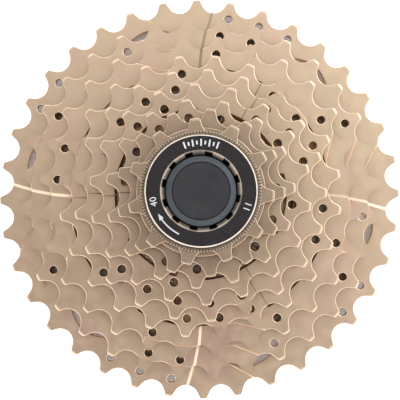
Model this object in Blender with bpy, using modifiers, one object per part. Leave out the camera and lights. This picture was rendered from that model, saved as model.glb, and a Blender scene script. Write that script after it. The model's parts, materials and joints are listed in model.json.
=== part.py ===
"""Nine-speed bicycle cassette on its plastic carrier sleeve.

The axis is +Z and the lockring is on top. The origin is on the axis, at the bottom of the sleeve.
Clock angles are in degrees, clockwise from +Y when seen from above.
"""

import math

import bmesh
import bpy

COLLECTION_NAME = "bicycle_cassette"
GAP = 0.0003

# Chain and sprocket stack. Each sprocket is (teeth, clock angle of its first tooth tip), largest first.
CHAIN_PITCH = 0.0127
VALLEY_RADIUS = 0.0046
VALLEY_CENTRE_ABOVE_PITCH = 0.00078
VALLEY_ANGLES = (-59.5, -29.75, 0.0, 29.75, 59.5)
TOOTH_ABOVE_PITCH = 0.00095
SPROCKETS = ((36, 9.0), (32, 7.0), (28, 6.4), (24, 6.2), (21, 3.6), (18, 16.8), (15, 14.8), (13, 6.9), (11, 27.8))
SPROCKET_STEP = 0.00434
SPROCKET_THICKNESS = 0.00178
FIRST_SPROCKET_BOTTOM = 0.0020
FIRST_LOOSE_SPROCKET = 6

# Lightening windows: egg-shaped holes in the largest sprocket, ring sectors in the others.
# Each sector window is (first clock angle, half angle, inner radius, outer radius).
WINDOW_COUNT = 6
EGG_FIRST_ANGLE = 41.6
EGG_OUTER_CENTRE = 0.0520
EGG_OUTER_RADIUS = 0.0120
EGG_INNER_CENTRE = 0.0380
EGG_INNER_RADIUS = 0.0070
SECTOR_WINDOWS = {
    32: (41.6, 18.0, 0.0370, 0.0510),
    28: (12.0, 17.0, 0.0322, 0.0461),
    24: (12.0, 18.0, 0.0285, 0.0375),
    21: (37.0, 20.0, 0.0285, 0.0318),
    18: (37.0, 21.0, 0.0232, 0.0287),
}
SECTOR_STEPS = 5

# Nine-spline bore: nine keys reach inwards, and the first is narrower than the rest.
KEY_COUNT = 9
KEY_FIRST_ANGLE = 20.0
BORE_RADIUS = 0.01745
KEY_TIP_RADIUS = 0.01620
KEY_HALF_ANGLE = 6.5
NARROW_KEY_HALF_ANGLE = 4.5
KEY_SIDE_CLEARANCE_ANGLE = 1.1
LAND_STEPS = 2

# Spacers and rivets
SPACER_BORE_RADIUS = 0.01775
SPACER_OUTER_RADIUS = 0.0210
EAR_RADIUS = 0.0036
EAR_STEP = 2
RIVET_COUNT = 3
RIVET_FIRST_ANGLE = 7.0
RIVET_CIRCLE_RADIUS = 0.0245
RIVET_SHANK_RADIUS = 0.0016
RIVET_HEAD_RADIUS = 0.0028
RIVET_HEAD_HEIGHT = 0.0008
RIVET_STEPS = 8

# Boss behind the smallest sprocket
BOSS_OUTER_RADIUS = 0.0206
BOSS_OVERLAP = 0.00005

# Plastic carrier: a splined sleeve with a foot flange, and a hollow plug in its front end
SLEEVE_BORE_RADIUS = 0.0150
SLEEVE_BOTTOM = 0.0005
SLEEVE_TOP = 0.0370
FOOT_INNER_RADIUS = 0.0156
FOOT_OUTER_RADIUS = 0.0205
FOOT_TOP = FIRST_SPROCKET_BOTTOM - GAP
PLUG_TOP = 0.0415
PLUG_TOP_RADIUS = 0.0090
PLUG_SLOPE_RADIUS = 0.0110
PLUG_SLOPE_BOTTOM = 0.0402
PLUG_RIM_RADIUS = 0.0146
PLUG_RIM_TOP = 0.0310
PLUG_RIM_BOTTOM = 0.0290
PLUG_WALL = 0.0018

# Lockring and its washer
WASHER_BORE_RADIUS = 0.0151
WASHER_OUTER_RADIUS = 0.0192
WASHER_THICKNESS = 0.0008
LOCKRING_OUTER_RADIUS = 0.01797
LOCKRING_HEAD_THICKNESS = 0.0022
SPLINE_COUNT = 12
SPLINE_FIRST_ANGLE = 11.5
SPLINE_TIP_RADIUS = 0.0114
SPLINE_ROOT_RADIUS = 0.0123
SPLINE_NOTCH_HALF_ANGLE = 6.0
SPIGOT_BORE_RADIUS = 0.0127
SPIGOT_OUTER_RADIUS = 0.01465
SPIGOT_BOTTOM = 0.0316
SPIGOT_OVERLAP = 0.0005

ROUND_STEPS = 48


def sprocket_bottom(index):
    return FIRST_SPROCKET_BOTTOM + index * SPROCKET_STEP


def sprocket_top(index):
    return sprocket_bottom(index) + SPROCKET_THICKNESS


def clock_point(radius, clock_angle):
    angle = math.radians(clock_angle)
    return (radius * math.sin(angle), radius * math.cos(angle))


def turned_points(points, clock_angle):
    """Points drawn about +Y, turned clockwise to a clock angle."""
    turn = math.radians(-clock_angle)
    return [
        (x * math.cos(turn) - y * math.sin(turn), x * math.sin(turn) + y * math.cos(turn))
        for x, y in points
    ]


def circle(radius, steps=ROUND_STEPS, centre=(0.0, 0.0)):
    points = []
    for step in range(steps):
        x, y = clock_point(radius, 360.0 * step / steps)
        points.append((centre[0] + x, centre[1] + y))
    return points


def flank_end(centre_radius, tip_radius):
    """Where the straight flank above a valley's arc meets the tip circle, as (across, out) from the valley's line."""
    angle = math.radians(VALLEY_ANGLES[-1])
    across = VALLEY_RADIUS * math.sin(angle)
    out = centre_radius - VALLEY_RADIUS * math.cos(angle)
    step_across, step_out = math.cos(angle), math.sin(angle)
    along = across * step_across + out * step_out
    reach = -along + math.sqrt(along**2 - across**2 - out**2 + tip_radius**2)
    return across + reach * step_across, out + reach * step_out


def tooth_outline(teeth, first_tip):
    """A round valley after each tooth, with straight flanks up to the tip circle."""
    pitch_angle = 360.0 / teeth
    pitch_radius = CHAIN_PITCH / 2 / math.sin(math.radians(pitch_angle / 2))
    centre_radius = pitch_radius + VALLEY_CENTRE_ABOVE_PITCH
    end_across, end_out = flank_end(centre_radius, pitch_radius + TOOTH_ABOVE_PITCH)
    valley = [(-end_across, end_out)]
    for angle in VALLEY_ANGLES:
        x, y = clock_point(VALLEY_RADIUS, 180.0 - angle)
        valley.append((x, centre_radius + y))
    valley.append((end_across, end_out))
    points = []
    for tooth in range(teeth):
        points += turned_points(valley, first_tip + (tooth + 0.5) * pitch_angle)
    return points


def splined_outline(outer_radius, inner_radius, extra_half_angle=0.0):
    """A circle of outer_radius with nine keys, or grooves, that reach in to inner_radius."""
    points = []
    for key in range(KEY_COUNT):
        centre = KEY_FIRST_ANGLE + key * 360.0 / KEY_COUNT
        half = NARROW_KEY_HALF_ANGLE if key == 0 else KEY_HALF_ANGLE
        half += extra_half_angle
        points.append(clock_point(inner_radius, centre - half))
        points.append(clock_point(inner_radius, centre))
        points.append(clock_point(inner_radius, centre + half))
        next_half = KEY_HALF_ANGLE if key < KEY_COUNT - 1 else NARROW_KEY_HALF_ANGLE
        land_start = centre + half
        land_end = centre + 360.0 / KEY_COUNT - next_half - extra_half_angle
        for step in range(LAND_STEPS + 1):
            angle = land_start + (land_end - land_start) * step / LAND_STEPS
            points.append(clock_point(outer_radius, angle))
    return points


def egg_outline(clock_angle):
    """A window whose wide round end is outside and whose narrow round end is inside."""
    points = []
    for angle in (-90, -60, -30, 0, 30, 60, 90):
        x, y = clock_point(EGG_OUTER_RADIUS, angle)
        points.append((x, EGG_OUTER_CENTRE + y))
    for angle in (105, 142, 180, 218, 255):
        x, y = clock_point(EGG_INNER_RADIUS, angle)
        points.append((x, EGG_INNER_CENTRE + y))
    return turned_points(points, clock_angle)


def sector_outline(clock_angle, half_angle, inner_radius, outer_radius):
    points = []
    for step in range(SECTOR_STEPS + 1):
        angle = clock_angle - half_angle + 2 * half_angle * step / SECTOR_STEPS
        points.append(clock_point(outer_radius, angle))
    for step in range(SECTOR_STEPS + 1):
        angle = clock_angle + half_angle - 2 * half_angle * step / SECTOR_STEPS
        points.append(clock_point(inner_radius, angle))
    return points


def window_outlines(teeth):
    angles = [k * 360.0 / WINDOW_COUNT for k in range(WINDOW_COUNT)]
    if teeth == SPROCKETS[0][0]:
        return [egg_outline(EGG_FIRST_ANGLE + angle) for angle in angles]
    if teeth in SECTOR_WINDOWS:
        first, half, inner, outer = SECTOR_WINDOWS[teeth]
        return [sector_outline(first + angle, half, inner, outer) for angle in angles]
    return []


def rivet_centres():
    angles = [RIVET_FIRST_ANGLE + k * 360.0 / RIVET_COUNT for k in range(RIVET_COUNT)]
    return [clock_point(RIVET_CIRCLE_RADIUS, angle) for angle in angles]


def rivet_holes():
    return [circle(RIVET_SHANK_RADIUS + GAP, RIVET_STEPS, centre) for centre in rivet_centres()]


def eared_outline():
    """The outside of a block spacer: a circle with a round ear about each rivet."""
    points = []
    steps = EAR_STEP * ROUND_STEPS
    half_turn = 180.0 / RIVET_COUNT
    for step in range(steps):
        clock_angle = RIVET_FIRST_ANGLE + 360.0 * step / steps
        radius = SPACER_OUTER_RADIUS
        from_ear = (clock_angle - RIVET_FIRST_ANGLE + half_turn) % (2 * half_turn) - half_turn
        across = RIVET_CIRCLE_RADIUS * math.sin(math.radians(from_ear))
        if abs(across) < EAR_RADIUS:
            along = RIVET_CIRCLE_RADIUS * math.cos(math.radians(from_ear))
            radius = max(radius, along + math.sqrt(EAR_RADIUS**2 - across**2))
        elif step % EAR_STEP:
            continue
        points.append(clock_point(radius, clock_angle))
    return points


def notched_outline():
    """The lockring's bore: a circle with twelve notches for the tool."""
    points = []
    pitch = 360.0 / SPLINE_COUNT
    for notch in range(SPLINE_COUNT):
        centre = SPLINE_FIRST_ANGLE + notch * pitch
        points.append(clock_point(SPLINE_ROOT_RADIUS, centre - SPLINE_NOTCH_HALF_ANGLE))
        points.append(clock_point(SPLINE_ROOT_RADIUS, centre + SPLINE_NOTCH_HALF_ANGLE))
        points.append(clock_point(SPLINE_TIP_RADIUS, centre + SPLINE_NOTCH_HALF_ANGLE))
        points.append(clock_point(SPLINE_TIP_RADIUS, centre + pitch / 2))
        points.append(clock_point(SPLINE_TIP_RADIUS, centre + pitch - SPLINE_NOTCH_HALF_ANGLE))
    return points


def clear_scene():
    for obj in list(bpy.data.objects):
        bpy.data.objects.remove(obj, do_unlink=True)


def new_collection(name):
    collection = bpy.data.collections.new(name)
    bpy.context.scene.collection.children.link(collection)
    return collection


def make_material(name, color, roughness, metallic):
    material = bpy.data.materials.new(name)
    material.use_nodes = True
    shader = material.node_tree.nodes["Principled BSDF"]
    shader.inputs["Base Color"].default_value = (*color, 1.0)
    shader.inputs["Roughness"].default_value = roughness
    shader.inputs["Metallic"].default_value = metallic
    return material


def extruded(name, outlines, bottom, top, material, collection):
    """A flat curve with holes, extruded between two heights."""
    curve = bpy.data.curves.new(name, "CURVE")
    curve.dimensions = "2D"
    curve.fill_mode = "BOTH"
    curve.extrude = (top - bottom) / 2
    for outline in outlines:
        spline = curve.splines.new("POLY")
        spline.points.add(len(outline) - 1)
        for point, (x, y) in zip(spline.points, outline):
            point.co = (x, y, 0.0, 1.0)
        spline.use_cyclic_u = True
    curve.materials.append(material)
    obj = bpy.data.objects.new(name, curve)
    obj.location.z = (top + bottom) / 2
    collection.objects.link(obj)
    return obj


def extruded_mesh(name, outlines, bottom, top, material, collection):
    """The same, as a welded mesh that a Boolean can use."""
    source = extruded(name + "_curve", outlines, bottom, top, material, collection)
    bpy.context.view_layer.update()
    graph = bpy.context.evaluated_depsgraph_get()
    mesh = bpy.data.meshes.new_from_object(source.evaluated_get(graph))
    mesh.name = name
    welded = bmesh.new()
    welded.from_mesh(mesh)
    bmesh.ops.remove_doubles(welded, verts=welded.verts, dist=1e-6)
    welded.to_mesh(mesh)
    welded.free()
    obj = bpy.data.objects.new(name, mesh)
    obj.matrix_world = source.matrix_world.copy()
    bpy.data.objects.remove(source, do_unlink=True)
    collection.objects.link(obj)
    return obj


def turned(name, profile, steps, material, collection, location=(0.0, 0.0, 0.0)):
    """A profile of (radius, height) that runs down the outside, turned about the Z axis."""
    mesh = bpy.data.meshes.new(name)
    edges = [(i, i + 1) for i in range(len(profile) - 1)]
    mesh.from_pydata([(radius, 0.0, height) for radius, height in profile], edges, [])
    mesh.materials.append(material)
    obj = bpy.data.objects.new(name, mesh)
    obj.location = location
    collection.objects.link(obj)
    screw = obj.modifiers.new("turn", "SCREW")
    screw.axis = "Z"
    screw.steps = steps
    screw.render_steps = steps
    screw.use_merge_vertices = True
    screw.merge_threshold = 0.00001
    return obj


def join(obj, addition, cutters):
    """Adds one closed mesh to another with a Boolean union."""
    for collection in list(addition.users_collection):
        collection.objects.unlink(addition)
    cutters.objects.link(addition)
    addition.hide_render = True
    addition.display_type = "WIRE"
    union = obj.modifiers.new("join_" + addition.name, "BOOLEAN")
    union.operation = "UNION"
    union.solver = "EXACT"
    union.object = addition


def make_sprockets(parts, cutters, steel):
    in_block = FIRST_LOOSE_SPROCKET - 1
    for index, (teeth, first_tip) in enumerate(SPROCKETS):
        name = f"sprocket_{teeth}t"
        outlines = [tooth_outline(teeth, first_tip), splined_outline(BORE_RADIUS, KEY_TIP_RADIUS)]
        outlines += window_outlines(teeth)
        if index <= in_block:
            outlines += rivet_holes()
        bottom, top = sprocket_bottom(index), sprocket_top(index)
        if index < len(SPROCKETS) - 1:
            extruded(name, outlines, bottom, top, steel, parts)
            continue
        sprocket = extruded_mesh(name, outlines, bottom, top, steel, parts)
        boss_outlines = [circle(BOSS_OUTER_RADIUS), circle(SPACER_BORE_RADIUS)]
        boss_bottom = sprocket_top(index - 1) + GAP
        boss = extruded_mesh("boss", boss_outlines, boss_bottom, bottom + BOSS_OVERLAP, steel, parts)
        join(sprocket, boss, cutters)


def make_spacers(parts, alloy):
    for index in range(len(SPROCKETS) - 2):
        larger, smaller = SPROCKETS[index][0], SPROCKETS[index + 1][0]
        name = f"spacer_{smaller}_{larger}"
        bottom = sprocket_top(index) + GAP
        top = sprocket_bottom(index + 1) - GAP
        if index + 1 < FIRST_LOOSE_SPROCKET:
            outlines = [eared_outline(), circle(SPACER_BORE_RADIUS)] + rivet_holes()
        else:
            outlines = [circle(SPACER_OUTER_RADIUS), circle(SPACER_BORE_RADIUS)]
        extruded(name, outlines, bottom, top, alloy, parts)


def make_rivets(parts, steel):
    low_face = sprocket_bottom(0) - GAP
    high_face = sprocket_top(FIRST_LOOSE_SPROCKET - 1) + GAP
    profile = [
        (0.0, high_face + RIVET_HEAD_HEIGHT),
        (RIVET_HEAD_RADIUS, high_face + RIVET_HEAD_HEIGHT),
        (RIVET_HEAD_RADIUS, high_face),
        (RIVET_SHANK_RADIUS, high_face),
        (RIVET_SHANK_RADIUS, low_face),
        (RIVET_HEAD_RADIUS, low_face),
        (RIVET_HEAD_RADIUS, low_face - RIVET_HEAD_HEIGHT),
        (0.0, low_face - RIVET_HEAD_HEIGHT),
    ]
    for number, (x, y) in enumerate(rivet_centres(), start=1):
        turned(f"rivet_{number}", profile, RIVET_STEPS, steel, parts, (x, y, 0.0))


def make_carrier(parts, cutters, plastic):
    sleeve_outlines = [
        splined_outline(BORE_RADIUS - GAP, KEY_TIP_RADIUS - GAP, KEY_SIDE_CLEARANCE_ANGLE),
        circle(SLEEVE_BORE_RADIUS),
    ]
    sleeve = extruded_mesh("core_sleeve", sleeve_outlines, SLEEVE_BOTTOM, SLEEVE_TOP, plastic, parts)
    foot_outlines = [circle(FOOT_OUTER_RADIUS), circle(FOOT_INNER_RADIUS)]
    join(sleeve, extruded_mesh("foot", foot_outlines, 0.0, FOOT_TOP, plastic, parts), cutters)
    plug_profile = [
        (0.0, PLUG_TOP),
        (PLUG_TOP_RADIUS, PLUG_TOP),
        (PLUG_SLOPE_RADIUS, PLUG_SLOPE_BOTTOM),
        (PLUG_SLOPE_RADIUS, PLUG_RIM_TOP),
        (PLUG_RIM_RADIUS, PLUG_RIM_TOP),
        (PLUG_RIM_RADIUS, PLUG_RIM_BOTTOM),
        (PLUG_SLOPE_RADIUS - PLUG_WALL, PLUG_RIM_BOTTOM),
        (PLUG_SLOPE_RADIUS - PLUG_WALL, PLUG_SLOPE_BOTTOM),
        (PLUG_TOP_RADIUS - PLUG_WALL, PLUG_TOP - PLUG_WALL),
        (0.0, PLUG_TOP - PLUG_WALL),
    ]
    turned("core_plug", plug_profile, ROUND_STEPS // 2, plastic, parts)


def make_lockring(parts, cutters, steel, anodised):
    washer_bottom = sprocket_top(len(SPROCKETS) - 1) + GAP
    washer_top = washer_bottom + WASHER_THICKNESS
    washer_outlines = [circle(WASHER_OUTER_RADIUS), circle(WASHER_BORE_RADIUS)]
    extruded("lockring_washer", washer_outlines, washer_bottom, washer_top, steel, parts)
    head_bottom = washer_top + GAP
    head_top = head_bottom + LOCKRING_HEAD_THICKNESS
    head_outlines = [circle(LOCKRING_OUTER_RADIUS), notched_outline()]
    head = extruded_mesh("lockring", head_outlines, head_bottom, head_top, anodised, parts)
    spigot_outlines = [circle(SPIGOT_OUTER_RADIUS), circle(SPIGOT_BORE_RADIUS)]
    spigot_top = head_bottom + SPIGOT_OVERLAP
    spigot = extruded_mesh("spigot", spigot_outlines, SPIGOT_BOTTOM, spigot_top, anodised, parts)
    join(head, spigot, cutters)


def main():
    clear_scene()
    parts = new_collection(COLLECTION_NAME)
    cutters = new_collection("joined_shapes")
    nickel = make_material("nickel_plated_steel", (0.62, 0.52, 0.40), 0.35, 1.0)
    bright = make_material("bright_steel", (0.65, 0.62, 0.58), 0.30, 1.0)
    alloy = make_material("spacer_alloy", (0.10, 0.10, 0.10), 0.50, 1.0)
    anodised = make_material("black_anodised", (0.02, 0.02, 0.02), 0.40, 0.5)
    plastic = make_material("black_plastic", (0.03, 0.03, 0.03), 0.60, 0.0)
    make_sprockets(parts, cutters, nickel)
    make_spacers(parts, alloy)
    make_rivets(parts, bright)
    make_carrier(parts, cutters, plastic)
    make_lockring(parts, cutters, bright, anodised)


main()
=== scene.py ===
"""Looks of the nine-speed bicycle cassette: fine meshes, plated steel, anodised lockring, white studio.

Lengths are in metres and the axis is +Z. Clock angles are in degrees, clockwise from +Y seen from above.
"""

import json
import math

import bmesh
import bpy
from mathutils import Euler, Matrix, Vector, geometry


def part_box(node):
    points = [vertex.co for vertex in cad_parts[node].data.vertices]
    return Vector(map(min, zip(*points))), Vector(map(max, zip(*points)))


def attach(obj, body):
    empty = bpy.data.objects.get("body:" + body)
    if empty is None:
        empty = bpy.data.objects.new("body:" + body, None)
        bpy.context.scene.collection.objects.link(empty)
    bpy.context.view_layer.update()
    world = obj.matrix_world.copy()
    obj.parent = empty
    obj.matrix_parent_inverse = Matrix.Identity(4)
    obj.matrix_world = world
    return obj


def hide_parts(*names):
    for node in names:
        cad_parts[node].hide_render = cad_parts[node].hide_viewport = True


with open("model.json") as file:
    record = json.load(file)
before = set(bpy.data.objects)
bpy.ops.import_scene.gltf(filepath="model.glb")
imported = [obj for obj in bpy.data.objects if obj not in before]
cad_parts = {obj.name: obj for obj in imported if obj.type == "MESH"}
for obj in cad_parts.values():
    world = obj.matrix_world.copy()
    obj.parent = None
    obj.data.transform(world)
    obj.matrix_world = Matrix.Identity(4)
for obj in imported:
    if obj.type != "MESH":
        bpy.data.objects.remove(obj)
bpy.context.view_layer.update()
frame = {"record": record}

MM = 0.001
GAP = 0.0003

# Sprockets: (teeth, clock angle of the first tooth tip), largest first
SPROCKETS = (
    (36, 9.0),
    (32, 7.0),
    (28, 6.4),
    (24, 6.2),
    (21, 3.6),
    (18, 16.8),
    (15, 14.8),
    (13, 6.9),
    (11, 27.8),
)
CHAIN_PITCH = 12.7 * MM
VALLEY_RADIUS = 4.6 * MM
VALLEY_CENTRE_ABOVE_PITCH = 0.78 * MM
VALLEY_END_ANGLE = 59.5
VALLEY_STEPS = 9
TOOTH_ABOVE_PITCH = 0.95 * MM
TIP_CORNER = 0.5 * MM
TIP_CORNER_STEPS = 4

# Plating, with painted shade on each sprocket: darker from the 24T inward, most on the 13T and 11T, in the
# lockring's shade
NICKEL_DARK = (0.745, 0.555, 0.378)
NICKEL_LIGHT = (0.80, 0.592, 0.404)
COG_SHADE_TONES = {36: 1.0, 32: 1.0, 28: 1.0, 24: 0.98, 21: 0.96, 18: 0.90, 15: 0.80, 13: 0.66, 11: 0.66}

# Painted shade in corners, holes and between parts: how far it looks for other surfaces, its color, and the
# share of open sky at or below which it is full. From there it fades, through the faint color, to none.
PAINTED_SHADE_REACH = 7.0 * MM
PAINTED_SHADE_COLOR = (0.060, 0.066, 0.080)
PAINTED_SHADE_LEVEL = 0.24
PAINTED_SHADE_FAINT_SPAN = 0.22
PAINTED_SHADE_FAINT_COLOR = (0.82, 0.81, 0.80)
PAINTED_SHADE_CLEAR_SPAN = 0.3
PAINTED_SHADE_CLEAR_LEVEL = 0.80
ROSY_TINT = (0.99, 0.945, 1.0)

# Edge break of the stamped plates, and the longer chamfer on the tooth tips
EDGE_BREAK = 0.28 * MM
EDGE_ANGLES = (0.0, 30.0, 60.0, 90.0)
TIP_CHAMFER_START = 0.15 * MM
TIP_CHAMFER_SLOPE = 0.26
TIP_EDGE = 0.46 * MM

# Small round holes: the teeth that have one, counted clockwise from the first tip
HOLE_BELOW_PITCH = 5.6 * MM
HOLE_RADIUS = 1.4 * MM
HOLE_STEPS = 28
HOLE_EDGE = 0.38 * MM
HOLE_TEETH = {
    36: (0, 1, 2, 11, 12, 18, 19, 20, 29, 30),
    32: (0, 1, 5, 8, 10, 13, 16, 17, 21, 26, 29),
    28: (0, 4, 8, 11, 15, 21, 22),
    24: (2, 3, 4, 6, 7, 10, 11, 12, 15, 23),
    21: (2, 3, 4, 9, 10, 11, 12, 13, 18, 19, 20),
    18: (1, 2, 4, 9, 15, 16),
    15: (0, 3, 4, 5, 7, 8, 11, 12, 13, 14),
}

# Lightening windows: eggs in the largest sprocket, ring sectors in the others
WINDOW_COUNT = 6
WINDOW_EDGE = 0.35 * MM
EGG_FIRST_ANGLE = 41.6
EGG_OUTER = (52.2 * MM, 12.5 * MM)
EGG_INNER = (38.0 * MM, 7.0 * MM)
SECTOR_WINDOWS = {
    32: (41.6, 18.0, 37.0 * MM, 51.0 * MM),
    28: (12.0, 17.0, 32.2 * MM, 46.1 * MM),
    24: (12.0, 18.0, 28.5 * MM, 37.5 * MM),
    21: (37.0, 20.0, 28.5 * MM, 31.8 * MM),
    18: (37.0, 21.0, 23.2 * MM, 28.7 * MM),
}
SECTOR_CORNER = 1.6 * MM

# Nine-spline bore
KEY_COUNT = 9
KEY_FIRST_ANGLE = 20.0
BORE_RADIUS = 17.45 * MM
KEY_TIP_RADIUS = 16.20 * MM
KEY_HALF_ANGLE = 6.5
NARROW_KEY_HALF_ANGLE = 4.5
KEY_SIDE_CLEARANCE_ANGLE = 1.1

# How far the cutters of ramps and thin sectors reach out past the pitch circle
CUTTER_MARGIN = 2.5 * MM

# Shift ramps: pockets between a diagonal step and a radial step, four times round.
# Each is ((angle, radius) of the diagonal's ends, then of the radial step's ends), from outside in.
RAMP_TURNS = 4
RAMP_DEPTH = 0.5 * MM
RAMP_WALL = 0.46 * MM
RAMP_OUTER_WALL = 1.0 * MM
RAMP_POCKETS = {
    36: ((-16.6, 68.7), (-10.4, 62.3), (2.4, 60.4), (4.2, 68.9)),
    32: ((-20.2, 60.6), (-12.6, 54.7), (1.0, 52.4), (2.4, 60.9)),
    28: ((-25.8, 52.5), (-15.4, 46.4), (0.2, 44.4), (1.0, 52.9)),
}
# Sectors whose teeth are thinner: (first angle, last angle, inner radius, times round)
THIN_DEPTH = 0.42 * MM
THIN_WALL = 0.27 * MM
THIN_SECTORS = {
    32: (1.6, 26.2, 61.35, 4),
    28: (1.0, 21.4, 53.3, 4),
    24: (33.6, 62.4, 45.5, 3),
    21: (29.5, 44.0, 39.55, 3),
}
# Narrow radial grooves: (angle, inner radius, outer radius, times round)
GROOVE_WIDTH = 0.42 * MM
GROOVE_DEPTH = 0.2 * MM
GROOVES = {
    24: (28.6, 38.9, 45.6, 3),
    21: (30.4, 32.6, 39.2, 3),
    18: (28.6, 26.8, 33.2, 3),
    15: (30.2, 22.4, 26.9, 3),
}

# Tooth-count stamps: (clock angle, radius in millimetres)
STAMP_HEIGHT = 2.3 * MM
STAMP_DEPTH = 0.14 * MM
STAMPS = {
    36: (240.6, 65.2),
    32: (238.4, 57.2),
    28: (231.4, 49.6),
    24: (222.4, 41.3),
    21: (293.2, 35.9),
    18: (46.4, 30.4),
}

# Rivets and spacers
RIVET_COUNT = 3
RIVET_FIRST_ANGLE = 7.0
RIVET_CIRCLE_RADIUS = 24.5 * MM
RIVET_SHANK_RADIUS = 1.6 * MM
RIVET_HEAD_HEIGHT = 0.8 * MM
RIVET_DOME_ANGLES = (0.0, 0.35, 0.7, 1.05, 1.35)
SPACER_BORE_RADIUS = 17.75 * MM
SPACER_OUTER_RADIUS = 21.0 * MM
SPACER_EDGE = 0.25 * MM
EAR_RADIUS = 3.6 * MM
BOSS_OUTER_RADIUS = 20.6 * MM

# Carrier
SLEEVE_BORE_RADIUS = 15.0 * MM
FOOT_INNER_RADIUS = 15.6 * MM
FOOT_OUTER_RADIUS = 20.5 * MM
PLUG_RADII = (9.0 * MM, 11.2 * MM, 14.6 * MM)
PLUG_WALL = 1.8 * MM
PLUG_SLOPE_DROP = 1.3 * MM
PLUG_RIM_HEIGHT = 2.0 * MM
PLUG_FACE_CROWN = 0.03 * MM
PLUG_GROOVE_DEPTH = 0.45 * MM
PLUG_GROOVE_WIDTH = 0.12 * MM
PLUG_GROOVE_OUTER = 0.22 * MM
PLUG_SHOULDER_START = 0.15 * MM
PLUG_RINGS_START = 0.3 * MM
PLUG_RINGS_END = 0.15 * MM
PLUG_RINGS_DROP = 0.18 * MM
PLUG_RING_SHARE = 0.8
PLUG_RING_COUNT = 4
PLUG_RING_STEP = 0.14 * MM
PLUG_RING_SLOPE = 0.10 * MM
MOULDED_EDGE = 0.2 * MM
FOOT_EDGE = 0.3 * MM
SLEEVE_ABOVE_FOOT = 0.5 * MM

# Lockring and washer
RIM_CHAMFER_START = 17.22 * MM
RIM_CHAMFER_DROP = 0.6 * MM
LOCKRING_OUTER_RADIUS = 17.75 * MM
BORE_BEVEL_START = 12.76 * MM
BORE_BEVEL_DEPTH = 1.1 * MM
LOCKRING_EDGE = 0.1 * MM
NOTCH_CORNER = 0.2 * MM
TOOL_REACH = 1.0 * MM
LOCKRING_STEPS = 180
BORE_BEVEL_OVERCUT = 0.1 * MM
# The machined slopes are picked by their height and radius, within these
FACE_PICK_DEPTH = 1.3 * MM
FACE_PICK_MARGIN = 0.1 * MM
SPLINE_COUNT = 12
SPLINE_FIRST_ANGLE = 11.5
SPLINE_TIP_RADIUS = 11.4 * MM
SPLINE_ROOT_RADIUS = 12.3 * MM
SPLINE_NOTCH_HALF_ANGLE = 6.0
SPIGOT_BORE_RADIUS = 12.7 * MM
SPIGOT_ROOT_RADIUS = 14.4 * MM
SPIGOT_CREST_RADIUS = 14.9 * MM
SPIGOT_OVERLAP = 0.5 * MM
SPIGOT_LEAD = 0.3 * MM
THREAD_BELOW_TOP = 0.8 * MM
THREAD_PITCH = 1.058 * MM
PRINTED_NUMBERS = ((11, 109.0), (40, 257.0))
PRINT_RADIUS = 15.1 * MM
PRINT_HEIGHT = 3.1 * MM
PRINT_DEPTH = 0.04 * MM
PRINT_LINE = 0.42 * MM
ARROW_ANGLES = (207.0, 234.0)
ARROW_HEAD_ANGLE = 8.0
ARROW_HEAD_WIDTH = 1.5 * MM
TICK_COUNT = 9
TICK_STEP = 5.0
TICK_LENGTHS = (2.2 * MM, 1.2 * MM)
WASHER_BORE_RADIUS = 15.1 * MM
WASHER_OUTER_RADIUS = 19.2 * MM
KNURL_COUNT = 120
KNURL_DEPTH = 1.1 * MM
WASHER_EDGE = 0.1 * MM
# The washer's painted shade in its knurl and corners: a shorter reach, full up to a higher share of open sky.
WASHER_PAINTED_SHADE_REACH = 2.0 * MM
WASHER_PAINTED_SHADE_LEVEL = 0.6
# The plain flange that closes the knurl's valleys low down
FLANGE_INSET = 0.12 * MM
FLANGE_LAP = 1.0 * MM
FLANGE_EDGE = 0.05 * MM
FLANGE_TOP = 0.5 * MM

# Camera and studio
CAMERA_FOOT = (-2.11 * MM, -11.68 * MM)
CAMERA_HEIGHT = 240.0 * MM
CAMERA_TILT = (2.5, -0.5)
CAMERA_LENS = 58.56
FLOOR_SIZE = 6.0
# The floor glows like a light table; under the part it glows far less and warmer, a painted shadow
FLOOR_GLOW = 0.9
PAINTED_SHADOW_GLOW = 0.14
PAINTED_SHADOW_TINT = (1.0, 0.74, 0.62)
PAINTED_SHADOW_RADIUS = 69.4 * MM
PAINTED_SHADOW_EDGE_WIDTH = 0.5 * MM
# Overhead the light grows towards the top right of the picture. Low down it is bright all round,
# but for two dark gaps: (clock angle, elevation, cosine at the edge, cosine at the middle)
SKY_UPHILL = (0.5, 0.866, 0.0)
SKY_REACH = 0.45
SKY_DIM = (0.405, 0.370, 0.379)
SKY_FULL = (0.91, 0.93, 0.947)
ZENITH_SHARE = 0.60
ZENITH_EDGE = 0.955
RING_START = 0.92
RING_FULL = 0.70
RING_LIGHT = 0.75
RING_COLOR = (0.93, 0.97, 1.03)
SKY_GAP_LEVEL = 0.12
SKY_GAPS = ((292.0, 34.0, 0.88, 0.96), (176.0, 14.0, 0.955, 0.988), (18.0, 30.0, 0.96, 0.995))

ROUND_STEPS = 144


# ---------------------------------------------------------------- outlines


def clock_point(radius, clock_angle):
    angle = math.radians(clock_angle)
    return (radius * math.sin(angle), radius * math.cos(angle))


def turned_points(points, clock_angle):
    """Points drawn about +Y, turned clockwise to a clock angle."""
    turn = math.radians(-clock_angle)
    return [
        (x * math.cos(turn) - y * math.sin(turn), x * math.sin(turn) + y * math.cos(turn))
        for x, y in points
    ]


def arc(radius, first, last, steps):
    return [clock_point(radius, first + (last - first) * step / steps) for step in range(steps + 1)]


def circle(radius, steps=ROUND_STEPS, centre=(0.0, 0.0)):
    return [(centre[0] + x, centre[1] + y) for x, y in arc(radius, 0.0, 360.0, steps)[:-1]]


def bend(start, corner, end, steps):
    """A quadratic curve from start to end that rounds off a corner."""
    points = []
    for step in range(steps + 1):
        t = step / steps
        a, b, c = (1 - t) ** 2, 2 * t * (1 - t), t**2
        points.append((a * start[0] + b * corner[0] + c * end[0], a * start[1] + b * corner[1] + c * end[1]))
    return points


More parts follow.
